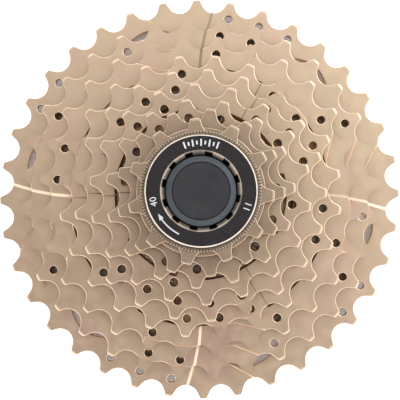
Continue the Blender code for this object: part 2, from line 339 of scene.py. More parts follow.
def rounded(points, corner, steps=5):
    """The same polygon with each sharp corner rounded off."""
    smooth = []
    for i, here in enumerate(points):
        here, before, after = Vector(here), Vector(points[i - 1]), Vector(points[(i + 1) % len(points)])
        back, ahead = before - here, after - here
        if math.pi - back.angle(ahead) < math.radians(40):
            smooth.append(tuple(here))
            continue
        start = here + back.normalized() * min(corner, back.length * 0.45)
        end = here + ahead.normalized() * min(corner, ahead.length * 0.45)
        smooth += bend(start, here, end, steps)
    return smooth


def pitch_radius(teeth):
    return CHAIN_PITCH / 2 / math.sin(math.pi / teeth)


def half_tooth(teeth):
    """From the middle of a tip on +Y to the next valley's bottom, and the index of the chamfer's start."""
    half_pitch = 180.0 / teeth
    pitch = pitch_radius(teeth)
    tip_radius = pitch + TOOTH_ABOVE_PITCH
    angle = math.radians(VALLEY_END_ANGLE)
    centre = pitch + VALLEY_CENTRE_ABOVE_PITCH
    valley = []
    for step in range(VALLEY_STEPS + 1):
        x, y = clock_point(VALLEY_RADIUS, 180.0 + VALLEY_END_ANGLE * (1 - step / VALLEY_STEPS))
        valley.append((x, centre + y))
    across, out = -valley[0][0], valley[0][1]
    along = across * math.cos(angle) + out * math.sin(angle)
    reach = -along + math.sqrt(along**2 - across**2 - out**2 + tip_radius**2)
    corner = (-across - reach * math.cos(angle), out + reach * math.sin(angle))
    valley = turned_points(valley, half_pitch)
    corner = Vector(turned_points([corner], half_pitch)[0])
    flank = Vector(valley[0]) - corner
    tip_half_angle = math.degrees(math.atan2(corner.x, corner.y))
    cut = min(TIP_CORNER, 0.75 * corner.x)
    cut_angle = tip_half_angle - math.degrees(cut / tip_radius)
    points = [(0.0, tip_radius)]
    cut_end = corner + flank.normalized() * cut
    points += bend(clock_point(tip_radius, cut_angle), corner, cut_end, TIP_CORNER_STEPS)
    share = (TOOTH_ABOVE_PITCH - TIP_CHAMFER_START) / (tip_radius - Vector(valley[0]).length)
    chamfer_index = len(points)
    points.append(tuple(corner + flank * share))
    points.append(tuple(corner + flank * (1 + share) / 2))
    return points + valley, chamfer_index


def tooth_outline(teeth, first_tip):
    """The whole outline, and for each tooth the two points where its tip chamfer starts."""
    half, chamfer_index = half_tooth(teeth)
    mirrored = [(-x, y) for x, y in reversed(half[1:-1])]
    tooth = mirrored + half
    middle = len(mirrored)
    points, chords = [], []
    for number in range(teeth):
        start = len(points)
        points += turned_points(tooth, first_tip + number * 360.0 / teeth)
        chords.append((start + middle - chamfer_index, start + middle + chamfer_index))
    return points, chords


def splined_outline(outer_radius, inner_radius, extra_half_angle=0.0):
    """A circle of outer_radius with nine keys, or grooves, that reach in to inner_radius."""
    points = []
    for key in range(KEY_COUNT):
        centre = KEY_FIRST_ANGLE + key * 360.0 / KEY_COUNT
        half = (NARROW_KEY_HALF_ANGLE if key == 0 else KEY_HALF_ANGLE) + extra_half_angle
        next_half = KEY_HALF_ANGLE if key < KEY_COUNT - 1 else NARROW_KEY_HALF_ANGLE
        land_end = centre + 360.0 / KEY_COUNT - next_half - extra_half_angle
        points += arc(inner_radius, centre - half, centre + half, 4)
        points += arc(outer_radius, centre + half, land_end, 8)
    return points


def egg_outline(clock_angle):
    centre, radius = EGG_OUTER
    points = [(x, centre + y) for x, y in arc(radius, -90.0, 90.0, 24)]
    centre, radius = EGG_INNER
    points += [(x, centre + y) for x, y in arc(radius, 105.0, 255.0, 14)]
    return turned_points(points, clock_angle)


def sector_outline(clock_angle, half_angle, inner_radius, outer_radius):
    points = arc(outer_radius, clock_angle - half_angle, clock_angle + half_angle, 16)
    points += arc(inner_radius, clock_angle + half_angle, clock_angle - half_angle, 12)
    corner = min(SECTOR_CORNER, 0.3 * (outer_radius - inner_radius))
    return rounded(points, corner)


def window_outlines(teeth):
    angles = [k * 360.0 / WINDOW_COUNT for k in range(WINDOW_COUNT)]
    if teeth == SPROCKETS[0][0]:
        return [egg_outline(EGG_FIRST_ANGLE + angle) for angle in angles]
    if teeth in SECTOR_WINDOWS:
        first, half, inner, outer = SECTOR_WINDOWS[teeth]
        return [sector_outline(first + angle, half, inner, outer) for angle in angles]
    return []


def rivet_centres():
    angles = [RIVET_FIRST_ANGLE + k * 360.0 / RIVET_COUNT for k in range(RIVET_COUNT)]
    return [clock_point(RIVET_CIRCLE_RADIUS, angle) for angle in angles]


def rivet_holes():
    return [circle(RIVET_SHANK_RADIUS + GAP, HOLE_STEPS, centre) for centre in rivet_centres()]


def tooth_holes(teeth, first_tip):
    radius = pitch_radius(teeth) - HOLE_BELOW_PITCH
    angles = [first_tip + tooth * 360.0 / teeth for tooth in HOLE_TEETH.get(teeth, ())]
    return [circle(HOLE_RADIUS, HOLE_STEPS, clock_point(radius, angle)) for angle in angles]


def eared_outline():
    """The outside of a block spacer: a circle with a round ear about each rivet."""
    points = []
    half_turn = 180.0 / RIVET_COUNT
    for clock_angle in range(0, 360, 2):
        from_ear = (clock_angle - RIVET_FIRST_ANGLE + half_turn) % (2 * half_turn) - half_turn
        across = RIVET_CIRCLE_RADIUS * math.sin(math.radians(from_ear))
        radius = SPACER_OUTER_RADIUS
        if abs(across) < EAR_RADIUS:
            along = RIVET_CIRCLE_RADIUS * math.cos(math.radians(from_ear))
            radius = max(radius, along + math.sqrt(EAR_RADIUS**2 - across**2))
        points.append(clock_point(radius, clock_angle))
    return points


def notched_outline():
    """The lockring's bore: a circle with twelve notches for the tool."""
    points = []
    pitch = 360.0 / SPLINE_COUNT
    for notch in range(SPLINE_COUNT):
        centre = SPLINE_FIRST_ANGLE + notch * pitch
        half = SPLINE_NOTCH_HALF_ANGLE
        points += arc(SPLINE_ROOT_RADIUS, centre - half, centre + half, 4)
        points += arc(SPLINE_TIP_RADIUS, centre + half, centre + pitch - half, 6)
    return rounded(points, NOTCH_CORNER, 2)


def knurled_outline():
    points = []
    pitch = 360.0 / KNURL_COUNT
    for ridge in range(KNURL_COUNT):
        centre = ridge * pitch
        points.append(clock_point(WASHER_OUTER_RADIUS - KNURL_DEPTH, centre - pitch / 2))
        points.append(clock_point(WASHER_OUTER_RADIUS, centre - pitch / 8))
        points.append(clock_point(WASHER_OUTER_RADIUS, centre + pitch / 8))
    return points


# ---------------------------------------------------------------- meshes


def signed_area(points):
    total = 0.0
    for i, (x, y) in enumerate(points):
        next_x, next_y = points[(i + 1) % len(points)]
        total += x * next_y - next_x * y
    return total / 2


def inward_directions(points):
    """At each point of a loop with the material on its left, the offset that moves both edges in by 1."""
    directions = []
    for i, here in enumerate(points):
        here, before, after = Vector(here), Vector(points[i - 1]), Vector(points[(i + 1) % len(points)])
        normals = []
        for edge in (here - before, after - here):
            normals.append(Vector((-edge.y, edge.x)).normalized())
        middle = (normals[0] + normals[1]).normalized()
        directions.append(middle / max(0.6, middle.dot(normals[0])))
    return directions


def cap_triangles(loops, chords):
    """Triangles over the region between an outer loop and its holes, as indices into the joined loops."""
    points, faces = [], []
    for loop in loops:
        corners = list(range(len(points), len(points) + len(loop)))
        faces.append(corners if not faces else corners[::-1])
        points += [Vector(point) for point in loop]
    result = geometry.delaunay_2d_cdt(points, chords, faces, 1, 1e-9, True)
    triangles, point_sources, face_sources = result[2], result[3], result[5]
    kept = [triangle for triangle, source in zip(triangles, face_sources) if list(source) == [0]]
    return [[point_sources[i][0] for i in triangle] for triangle in kept]


def past_chamfer(x, y, chamfer_radius):
    """How far a point lies outside the chamfer radius."""
    return 0.0 if chamfer_radius is None else max(0.0, math.hypot(x, y) - chamfer_radius)


def side_rings(mesh, points, levels, chamfer_radius):
    """Rings of vertices up the side of a loop, for levels of (face height, side, edge radius, angle)."""
    directions = inward_directions(points)
    rings = []
    for height, side, edge, angle in levels:
        inset_share = 1 - math.cos(math.radians(angle))
        rise_share = 1 - math.sin(math.radians(angle))
        ring = []
        for (x, y), direction in zip(points, directions):
            share = past_chamfer(x, y, chamfer_radius) / (TOOTH_ABOVE_PITCH - TIP_CHAMFER_START)
            size = edge + ((TIP_EDGE - edge) * share if share > 0 else 0.0)
            moved_x = x + direction.x * size * inset_share
            moved_y = y + direction.y * size * inset_share
            fall = TIP_CHAMFER_SLOPE * past_chamfer(moved_x, moved_y, chamfer_radius)
            ring.append(mesh.verts.new((moved_x, moved_y, height + side * (size * rise_share + fall))))
        rings.append(ring)
    return rings


def plate(name, outer, holes, bottom, top, edge=EDGE_BREAK, chords=(), chamfer_radius=None):
    """A flat plate with rounded edges, whose rim is thinned and rounded more beyond the chamfer radius.

    holes is a list of (outline, edge radius at the top).
    """
    loops = [(outer if signed_area(outer) > 0 else outer[::-1], edge)]
    loops += [(hole if signed_area(hole) < 0 else hole[::-1], hole_edge) for hole, hole_edge in holes]
    if signed_area(outer) < 0:
        last = len(outer) - 1
        chords = [(last - a, last - b) for a, b in chords]
    levels = [(bottom, 1.0, edge, angle) for angle in reversed(EDGE_ANGLES)]
    mesh = bmesh.new()
    rings, flat_loops = [], []
    for points, top_edge in loops:
        loop_levels = levels + [(top, -1.0, top_edge, angle) for angle in EDGE_ANGLES]
        loop_rings = side_rings(mesh, points, loop_levels, chamfer_radius)
        rings.append(loop_rings)
        flat_loops.append([(vert.co.x, vert.co.y) for vert in loop_rings[-1]])
        for lower, upper in zip(loop_rings, loop_rings[1:]):
            count = len(lower)
            for i in range(count):
                j = (i + 1) % count
                mesh.faces.new((lower[i], lower[j], upper[j], upper[i])).smooth = True
    top_verts = [vert for loop_rings in rings for vert in loop_rings[-1]]
    bottom_verts = [vert for loop_rings in rings for vert in loop_rings[0]]
    for triangle in cap_triangles(flat_loops, list(chords)):
        mesh.faces.new([top_verts[i] for i in triangle])
        mesh.faces.new([bottom_verts[i] for i in reversed(triangle)])
    return as_object(name, mesh)


def as_object(name, mesh, sharp_angle=None):
    """An object of a closed mesh, facing out. With a sharp angle it is smooth but for its sharp edges."""
    if mesh.calc_volume(signed=True) < 0:
        bmesh.ops.reverse_faces(mesh, faces=mesh.faces)
    data = bpy.data.meshes.new(name)
    mesh.to_mesh(data)
    mesh.free()
    if sharp_angle is not None:
        data.set_sharp_from_angle(angle=math.radians(sharp_angle))
    obj = bpy.data.objects.new(name, data)
    bpy.context.scene.collection.objects.link(obj)
    return obj


def turned(name, profile, steps=ROUND_STEPS, centre=(0.0, 0.0), closed=False):
    """A profile of (radius, height) turned about a vertical axis. Ends on the axis are single points."""
    mesh = bmesh.new()
    columns = []
    for step in range(steps):
        angle = math.tau * step / steps
        column = []
        for number, (radius, height) in enumerate(profile):
            if radius == 0.0 and step > 0:
                column.append(columns[0][number])
                continue
            x, y = centre[0] + radius * math.cos(angle), centre[1] + radius * math.sin(angle)
            column.append(mesh.verts.new((x, y, height)))
        columns.append(column)
    count = len(profile)
    for step in range(steps):
        here, there = columns[step], columns[(step + 1) % steps]
        for i in range(count if closed else count - 1):
            j = (i + 1) % count
            corners = []
            for vert in (here[i], there[i], there[j], here[j]):
                if vert not in corners:
                    corners.append(vert)
            mesh.faces.new(corners).smooth = True
    return as_object(name, mesh, 35.0)


def inset_polygon(points, widths):
    """A polygon with its material on its left, each edge moved in by its own width."""
    count = len(points)
    lines = []
    for i in range(count):
        a, b = Vector(points[i]), Vector(points[(i + 1) % count])
        direction = (b - a).normalized()
        lines.append((a + Vector((-direction.y, direction.x)) * widths[i], direction))
    moved = []
    for i in range(count):
        (a, u), (b, v) = lines[i - 1], lines[i]
        cross = u.x * v.y - u.y * v.x
        if abs(cross) < 0.02:
            moved.append((a + b + u * u.dot(Vector(points[i]) - a) + v * v.dot(Vector(points[i]) - b)) / 2)
            continue
        offset = b - a
        moved.append(a + u * ((offset.x * v.y - offset.y * v.x) / cross))
    return [tuple(point) for point in moved]


def add_cutter(mesh, points, widths, top, depth):
    """Adds to a cutter mesh a pocket whose walls slope in by widths between the face and its floor."""
    if signed_area(points) < 0:
        points = points[::-1]
        widths = widths[-2::-1] + widths[-1:]
    above = depth
    floor = inset_polygon(points, widths)
    outside = inset_polygon(points, [-width * above / depth for width in widths])
    rings = []
    for ring, height in ((floor, top - depth), (outside, top + above)):
        rings.append([mesh.verts.new((x, y, height)) for x, y in ring])
    count = len(points)
    for i in range(count):
        j = (i + 1) % count
        mesh.faces.new((rings[0][i], rings[0][j], rings[1][j], rings[1][i]))
    mesh.faces.new(rings[0][::-1])
    mesh.faces.new(rings[1])


def boolean(obj, tool, operation):
    """Applies a Boolean and removes the tool."""
    modifier = obj.modifiers.new("cut", "BOOLEAN")
    modifier.operation = operation
    modifier.solver = "MANIFOLD"
    modifier.object = tool
    bpy.context.view_layer.update()
    graph = bpy.context.evaluated_depsgraph_get()
    data = bpy.data.meshes.new_from_object(obj.evaluated_get(graph))
    obj.modifiers.clear()
    old = obj.data
    data.name = old.name
    obj.data = data
    bpy.data.meshes.remove(old)
    tool_data = tool.data
    bpy.data.objects.remove(tool)
    bpy.data.meshes.remove(tool_data)


# ---------------------------------------------------------------- sprockets


def ramp_cutters(mesh, teeth, top):
    (d0, r0), (d1, r1), (l1, q1), (l0, q0) = RAMP_POCKETS[teeth]
    beyond = pitch_radius(teeth) + CUTTER_MARGIN
    for turn in range(RAMP_TURNS):
        start = turn * 360.0 / RAMP_TURNS
        inner = arc(r1 * MM, start + d1, start + d1 + 3.0, 3)
        points = [clock_point(r0 * MM, start + d0)] + inner
        points += [clock_point(q1 * MM, start + l1), clock_point(q0 * MM, start + l0)]
        widths = [RAMP_WALL] * (len(inner) + 1) + [RAMP_OUTER_WALL, 0.0]
        outer = arc(beyond, start + l0, start + d0, 6)
        points += outer
        widths += [0.0] * len(outer)
        add_cutter(mesh, points, widths, top, RAMP_DEPTH)


def thin_cutters(mesh, teeth, top):
    first, last, inner, turns = THIN_SECTORS[teeth]
    beyond = pitch_radius(teeth) + CUTTER_MARGIN
    steps = 8
    for turn in range(turns):
        start = turn * 360.0 / turns
        points = arc(inner * MM, start + first, start + last, steps)
        points += arc(beyond, start + last, start + first, steps)
        widths = [THIN_WALL] * (steps + 1) + [0.0] * steps + [THIN_WALL]
        add_cutter(mesh, points, widths, top, THIN_DEPTH)


def groove_cutters(mesh, teeth, top):
    angle, inner, outer, turns = GROOVES[teeth]
    for turn in range(turns):
        side = GROOVE_WIDTH / 2
        points = [(-side, inner * MM), (-side, outer * MM), (side, outer * MM), (side, inner * MM)]
        points = turned_points(points, angle + turn * 360.0 / turns)
        add_cutter(mesh, points, [side * 0.7] * 4, top, GROOVE_DEPTH)


def number_object(name, number, height, depth, radius, angle, top):
    """Raised digits centred on a clock angle, their heads pointing away from the axis."""
    text = bpy.data.curves.new("stamp", "FONT")
    text.body = str(number)
    text.size = height
    text.resolution_u = 2
    text.align_x, text.align_y = "CENTER", "CENTER"
    text.extrude = depth
    source = bpy.data.objects.new("stamp", text)
    x, y = clock_point(radius, angle)
    source.location = (x, y, top)
    source.rotation_euler = (0.0, 0.0, math.radians(-angle))
    bpy.context.scene.collection.objects.link(source)
    bpy.context.view_layer.update()
    graph = bpy.context.evaluated_depsgraph_get()
    mesh = bmesh.new()
    data = bpy.data.meshes.new_from_object(source.evaluated_get(graph))
    mesh.from_mesh(data)
    bmesh.ops.transform(mesh, matrix=source.matrix_world, verts=mesh.verts)
    bmesh.ops.remove_doubles(mesh, verts=mesh.verts, dist=1e-6)
    bpy.data.objects.remove(source)
    return as_object(name, mesh)


def make_sprocket(index, material):
    teeth, first_tip = SPROCKETS[index]
    node = f"sprocket_{teeth}t"
    low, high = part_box(node)
    flat_low, flat_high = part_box(f"sprocket_{SPROCKETS[0][0]}t")
    bottom, top = high.z - (flat_high.z - flat_low.z), high.z
    outer, chords = tooth_outline(teeth, first_tip)
    holes = [(splined_outline(BORE_RADIUS, KEY_TIP_RADIUS), EDGE_BREAK)]
    holes += [(outline, WINDOW_EDGE) for outline in window_outlines(teeth)]
    holes += [(outline, HOLE_EDGE) for outline in tooth_holes(teeth, first_tip)]
    if body_of_node(node) == "riveted_block":
        holes += [(outline, EDGE_BREAK) for outline in rivet_holes()]
    chamfer_radius = pitch_radius(teeth) + TIP_CHAMFER_START
    cog = plate(f"cog_{teeth}t", outer, holes, bottom, top, EDGE_BREAK, chords, chamfer_radius)
    cuts = ((RAMP_POCKETS, ramp_cutters), (THIN_SECTORS, thin_cutters), (GROOVES, groove_cutters))
    for table, add in cuts:
        if teeth in table:
            mesh = bmesh.new()
            add(mesh, teeth, top)
            boolean(cog, as_object("tool", mesh), "DIFFERENCE")
    if teeth in STAMPS:
        angle, radius = STAMPS[teeth]
        stamp = number_object("stamp_tool", teeth, STAMP_HEIGHT, STAMP_DEPTH, radius * MM, angle, top)
        boolean(cog, stamp, "DIFFERENCE")
    if low.z < bottom - GAP:
        boss_edge = [(circle(SPACER_BORE_RADIUS), EDGE_BREAK)]
        boss = plate("boss", circle(BOSS_OUTER_RADIUS), boss_edge, low.z, bottom + EDGE_BREAK * 1.5)
        boolean(cog, boss, "UNION")
    finish_piece(cog, material, node)


def body_of_node(node):
    for body, members in frame["record"]["behaviour"]["bodies"].items():
        if node in members:
            return body
    raise ValueError(f"no body holds {node}")


def finish_piece(piece, material, node):
    """Gives a piece its material and the body of the node that it replaces."""
    if not piece.data.materials:
        piece.data.materials.append(material)
    else:
        piece.data.materials[0] = material
    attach(piece, body_of_node(node))
    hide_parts(node)


# ---------------------------------------------------------------- other pieces


def make_spacers(material):
    for larger, smaller in zip(SPROCKETS[:-2], SPROCKETS[1:-1]):
        node = f"spacer_{smaller[0]}_{larger[0]}"
        low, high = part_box(node)
        holes = [(circle(SPACER_BORE_RADIUS), EDGE_BREAK)]
        if body_of_node(node) == "riveted_block":
            outline = eared_outline()
            holes += [(hole, EDGE_BREAK) for hole in rivet_holes()]
        else:
            outline = circle(SPACER_OUTER_RADIUS)
        ring = plate(f"ring_{smaller[0]}_{larger[0]}", outline, holes, low.z, high.z, SPACER_EDGE)
        finish_piece(ring, material, node)


def make_rivets(material):
    for number, centre in enumerate(rivet_centres(), start=1):
        low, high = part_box(f"rivet_{number}")
        head_radius = (high.x - low.x) / 2
        upper, lower = high.z - RIVET_HEAD_HEIGHT, low.z + RIVET_HEAD_HEIGHT
        dome = [(head_radius * math.sin(a), RIVET_HEAD_HEIGHT * math.cos(a)) for a in RIVET_DOME_ANGLES]
        profile = [(radius, upper + rise) for radius, rise in dome]
        profile += [(head_radius, upper), (RIVET_SHANK_RADIUS, upper)]
        profile += [(RIVET_SHANK_RADIUS, lower), (head_radius, lower)]
        profile += [(radius, lower - rise) for radius, rise in reversed(dome)]
        rivet = turned(f"pin_{number}", profile, 40, centre)
        finish_piece(rivet, material, f"rivet_{number}")


def plug_rings(inner, outer, height):
    """Fine turned steps on the plug's shoulder, each dropping a little from the last."""
    points = []
    for step in range(PLUG_RING_COUNT):
        start = inner + (outer - inner) * step / PLUG_RING_COUNT
        end = inner + (outer - inner) * (step + PLUG_RING_SHARE) / PLUG_RING_COUNT
        points.append((start, height - step * PLUG_RING_STEP))
        points.append((end, height - step * PLUG_RING_STEP - PLUG_RING_SLOPE))
    return points


def make_sleeve(material):
    low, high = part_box("core_sleeve")
    foot_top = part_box("sprocket_36t")[0].z - GAP
    outline = splined_outline(BORE_RADIUS - GAP, KEY_TIP_RADIUS - GAP, KEY_SIDE_CLEARANCE_ANGLE)
    bore = [(circle(SLEEVE_BORE_RADIUS), MOULDED_EDGE)]
    sleeve = plate("carrier_sleeve", outline, bore, low.z + SLEEVE_ABOVE_FOOT, high.z, MOULDED_EDGE)
    foot_hole = [(circle(FOOT_INNER_RADIUS), MOULDED_EDGE)]
    foot = plate("foot", circle(FOOT_OUTER_RADIUS), foot_hole, low.z, foot_top, FOOT_EDGE)
    boolean(sleeve, foot, "UNION")
    finish_piece(sleeve, material, "core_sleeve")


def make_plug(material, painted_light_material):
    low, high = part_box("core_plug")
    face_radius, side_radius, rim_radius = PLUG_RADII
    face, slope_end, rim_top = high.z, high.z - PLUG_SLOPE_DROP, low.z + PLUG_RIM_HEIGHT
    profile = [
        (0.0, face),
        (face_radius - MOULDED_EDGE, face - PLUG_FACE_CROWN),
        (face_radius, face - PLUG_GROOVE_DEPTH),
        (face_radius + PLUG_GROOVE_WIDTH, face - PLUG_GROOVE_DEPTH),
        (face_radius + PLUG_GROOVE_OUTER, face - MOULDED_EDGE),
        *plug_rings(face_radius + PLUG_RINGS_START, side_radius - PLUG_RINGS_END, face - PLUG_RINGS_DROP),
        (side_radius, slope_end),
        (side_radius, rim_top),
        (rim_radius - MOULDED_EDGE, rim_top),
        (rim_radius, rim_top - MOULDED_EDGE),
        (rim_radius, low.z + MOULDED_EDGE),
        (rim_radius - MOULDED_EDGE, low.z),
        (side_radius - PLUG_WALL, low.z),
        (side_radius - PLUG_WALL, slope_end),
        (face_radius - PLUG_WALL, face - PLUG_WALL),
        (0.0, face - PLUG_WALL),
    ]
    plug = turned("carrier_plug", profile)
    for part in (material, painted_light_material):
        plug.data.materials.append(part)
    # The turned shoulder rings get the lighter copy of the plastic: painted light for the light they catch.
    for polygon in plug.data.polygons:
        radius = math.hypot(polygon.center.x, polygon.center.y)
        on_shoulder = radius > face_radius + PLUG_SHOULDER_START and polygon.center.z > slope_end
        polygon.material_index = 1 if on_shoulder else 0
    finish_piece(plug, material, "core_plug")


def make_washer(material):
    low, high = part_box("lockring_washer")
    hole = [(circle(WASHER_BORE_RADIUS), WASHER_EDGE)]
    washer = plate("knurled_washer", knurled_outline(), hole, low.z, high.z, WASHER_EDGE)
    outline = circle(WASHER_OUTER_RADIUS - FLANGE_INSET)
    flange_hole = [(circle(WASHER_BORE_RADIUS + FLANGE_LAP), FLANGE_EDGE)]
    flange = plate("flange", outline, flange_hole, low.z + FLANGE_EDGE, low.z + FLANGE_TOP, FLANGE_EDGE)
    boolean(washer, flange, "UNION")
    finish_piece(washer, material, "lockring_washer")


def make_prints(material):
    """Printed marks on the lockring: a curved arrow, a row of ticks and two plain numbers."""
    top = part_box("lockring")[1].z
    prints = []
    for number, angle in PRINTED_NUMBERS:
        name = f"print_number_{number}"
        prints.append(number_object(name, number, PRINT_HEIGHT, PRINT_DEPTH, PRINT_RADIUS, angle, top))
    first, last = ARROW_ANGLES
    half = PRINT_LINE / 2
    tail = arc(PRINT_RADIUS - half, first, last, 12) + arc(PRINT_RADIUS + half, last, first, 12)
    half_head = ARROW_HEAD_WIDTH / 2
    head = [clock_point(PRINT_RADIUS - half_head, last), clock_point(PRINT_RADIUS + half_head, last)]
    head.append(clock_point(PRINT_RADIUS, last + ARROW_HEAD_ANGLE))
    outlines = {"print_arrow_tail": tail, "print_arrow_head": head}
    for tick in range(TICK_COUNT):
        angle = (tick - (TICK_COUNT - 1) / 2) * TICK_STEP
        reach = TICK_LENGTHS[tick % 2] / 2
        side = PRINT_LINE * 0.6
        corners = [(-side, PRINT_RADIUS - reach), (side, PRINT_RADIUS - reach)]
        corners += [(side, PRINT_RADIUS + reach), (-side, PRINT_RADIUS + reach)]
        outlines[f"print_tick_{tick + 1}"] = turned_points(corners, angle)
    for name, outline in outlines.items():
        prints.append(plate(name, outline, [], top - PRINT_DEPTH, top + PRINT_DEPTH, PRINT_DEPTH * 0.3))
    for mark in prints:
        mark.data.materials.append(material)
        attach(mark, "lockring_body")


def make_lockring(black, bright, brown):
    low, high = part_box("lockring")
    head_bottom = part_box("lockring_washer")[1].z + GAP
    hole = [(notched_outline(), LOCKRING_EDGE)]
    head = plate("lockring_ring", circle(LOCKRING_OUTER_RADIUS, LOCKRING_STEPS), hole, head_bottom, high.z)
    slope = RIM_CHAMFER_DROP / (LOCKRING_OUTER_RADIUS - RIM_CHAMFER_START)
    rim_tool = [
        (RIM_CHAMFER_START - TOOL_REACH, high.z + slope * TOOL_REACH),
        (LOCKRING_OUTER_RADIUS + TOOL_REACH, high.z - RIM_CHAMFER_DROP - slope * TOOL_REACH),
        (LOCKRING_OUTER_RADIUS + TOOL_REACH, high.z + slope * TOOL_REACH),
    ]
    boolean(head, turned("tool", rim_tool, LOCKRING_STEPS, closed=True), "DIFFERENCE")
    bore_tool = [
        (0.0, high.z + TOOL_REACH),
        (BORE_BEVEL_START + TOOL_REACH, high.z + TOOL_REACH),
        (BORE_BEVEL_START, high.z),
        (SPLINE_TIP_RADIUS - BORE_BEVEL_OVERCUT, high.z - BORE_BEVEL_DEPTH),
        (0.0, high.z - BORE_BEVEL_DEPTH),
    ]
    boolean(head, turned("tool", bore_tool, LOCKRING_STEPS), "DIFFERENCE")
    profile = spigot_profile(low.z, head_bottom + SPIGOT_OVERLAP)
    boolean(head, turned("spigot", profile, closed=True), "UNION")
    head.data.materials.clear()
    for material in (black, bright, brown):
        head.data.materials.append(material)
    for face in head.data.polygons:
        radius = math.hypot(face.center.x, face.center.y)
        sloped = 0.3 < face.normal.z < 0.95 and face.center.z > high.z - FACE_PICK_DEPTH
        if sloped and radius > RIM_CHAMFER_START - FACE_PICK_MARGIN:
            face.material_index = 1
        elif sloped and radius < BORE_BEVEL_START + FACE_PICK_MARGIN:
            face.material_index = 2
        else:
            face.material_index = 0
    finish_piece(head, black, "lockring")


def spigot_profile(bottom, top):
    """A closed profile with thread-like rings on its outer side, from the bore's top round to its bottom."""
    profile = [(SPIGOT_BORE_RADIUS, bottom), (SPIGOT_BORE_RADIUS, top), (SPIGOT_ROOT_RADIUS, top)]
    height = top - THREAD_BELOW_TOP
    while height - THREAD_PITCH > bottom + SPIGOT_LEAD:
        profile.append((SPIGOT_ROOT_RADIUS, height))
        profile.append((SPIGOT_CREST_RADIUS, height - 0.4 * THREAD_PITCH))
        profile.append((SPIGOT_CREST_RADIUS, height - 0.6 * THREAD_PITCH))
        height -= THREAD_PITCH
    profile += [(SPIGOT_ROOT_RADIUS, height), (SPIGOT_ROOT_RADIUS, bottom + SPIGOT_LEAD)]
    profile.append((SPIGOT_ROOT_RADIUS - SPIGOT_LEAD, bottom))
    return profile


# ---------------------------------------------------------------- materials


class Nodes:
    """A short way to wire a material's nodes."""

    def __init__(self, name):
        self.material = bpy.data.materials.new(name)
        self.material.use_nodes = True
        self.tree = self.material.node_tree
        self.shader = self.tree.nodes["Principled BSDF"]
        self.position = self.tree.nodes.new("ShaderNodeTexCoord").outputs["Object"]

    def add(self, kind, **settings):
        node = self.tree.nodes.new(kind)
        for name, value in settings.items():
            setattr(node, name, value)
        return node

    def link(self, output, target):
        self.tree.links.new(output, target)

    def noise(self, scale, detail=3.0, vector=None):
        node = self.add("ShaderNodeTexNoise")
        node.inputs["Scale"].default_value = scale
        node.inputs["Detail"].default_value = detail
        self.link(vector or self.position, node.inputs["Vector"])
        return node.outputs["Fac"]

    def ramp(self, source, stops):
        node = self.add("ShaderNodeValToRGB")
        while len(node.color_ramp.elements) < len(stops):
            node.color_ramp.elements.new(0.5)
        for element, (place, color) in zip(node.color_ramp.elements, stops):
            element.position = place
            element.color = (*color, 1.0)
        self.link(source, node.inputs["Fac"])
        return node.outputs["Color"]

    def spread(self, source, low, high, from_low=0.3, from_high=0.7):
        node = self.add("ShaderNodeMapRange")
        node.inputs["From Min"].default_value = from_low
        node.inputs["From Max"].default_value = from_high
        node.inputs["To Min"].default_value = low
        node.inputs["To Max"].default_value = high
        self.link(source, node.inputs["Value"])
        return node.outputs["Result"]

    def bump(self, source, strength, distance, normal=None):
        node = self.add("ShaderNodeBump")
        node.inputs["Strength"].default_value = strength
        node.inputs["Distance"].default_value = distance
        self.link(source, node.inputs["Height"])
        if normal is not None:
            self.link(normal, node.inputs["Normal"])
        return node.outputs["Normal"]

    def radius(self):
        split = self.add("ShaderNodeSeparateXYZ")
        self.link(self.position, split.inputs["Vector"])
        flat = self.add("ShaderNodeCombineXYZ")
        self.link(split.outputs["X"], flat.inputs["X"])
        self.link(split.outputs["Y"], flat.inputs["Y"])
        length = self.add("ShaderNodeVectorMath", operation="LENGTH")
        self.link(flat.outputs["Vector"], length.inputs[0])
        return length.outputs["Value"]

    def grime(self, color, reach, dark, level):
        """Painted shade: the color, multiplied by dark where at most level of the sky shows within reach, and
        fading above.
        """
        hollow = self.add("ShaderNodeAmbientOcclusion", samples=6)
        hollow.inputs["Distance"].default_value = reach
        clear = max(PAINTED_SHADE_CLEAR_LEVEL, level + PAINTED_SHADE_CLEAR_SPAN)
        stops = ((level, dark), (level + PAINTED_SHADE_FAINT_SPAN, PAINTED_SHADE_FAINT_COLOR), (clear, (1.0, 1.0, 1.0)))
        shade = self.ramp(hollow.outputs["AO"], stops)
        mix = self.add("ShaderNodeMix", data_type="RGBA", blend_type="MULTIPLY")
        mix.inputs["Factor"].default_value = 1.0
        self.link(color, mix.inputs[6])
        self.link(shade, mix.inputs[7])
        return mix.outputs[2]

    def set(self, **values):
        for name, value in values.items():
            self.shader.inputs[name.replace("_", " ")].default_value = value

    def drive(self, name, output):
        self.link(output, self.shader.inputs[name])


def plated_steel(name, dark, light, roughness, reach=PAINTED_SHADE_REACH, level=PAINTED_SHADE_LEVEL):
    """Warm nickel plating over stamped steel: slow tint changes, fine grain, small pits and painted shade in
    corners and hollows.
    """
    nodes = Nodes(name)
    nodes.set(Metallic=1.0)
    slow = nodes.noise(60.0, 4.0)
    rosy = [part * share for part, share in zip(light, ROSY_TINT)]
    tint = nodes.ramp(slow, ((0.32, dark), (0.48, light), (0.66, rosy)))
    # Painted shade: the base color darkens in corners, holes and between parts, where little open sky shows.
    nodes.drive("Base Color", nodes.grime(tint, reach, PAINTED_SHADE_COLOR, level))
    grain = nodes.noise(1400.0, 2.0)
    nodes.drive("Roughness", nodes.spread(nodes.noise(220.0, 3.0), roughness - 0.05, roughness + 0.07))
    pits = nodes.noise(420.0, 5.0)
    nodes.drive("Normal", nodes.bump(pits, 0.15, 0.00012, nodes.bump(grain, 0.16, 0.00003)))
    return nodes.material


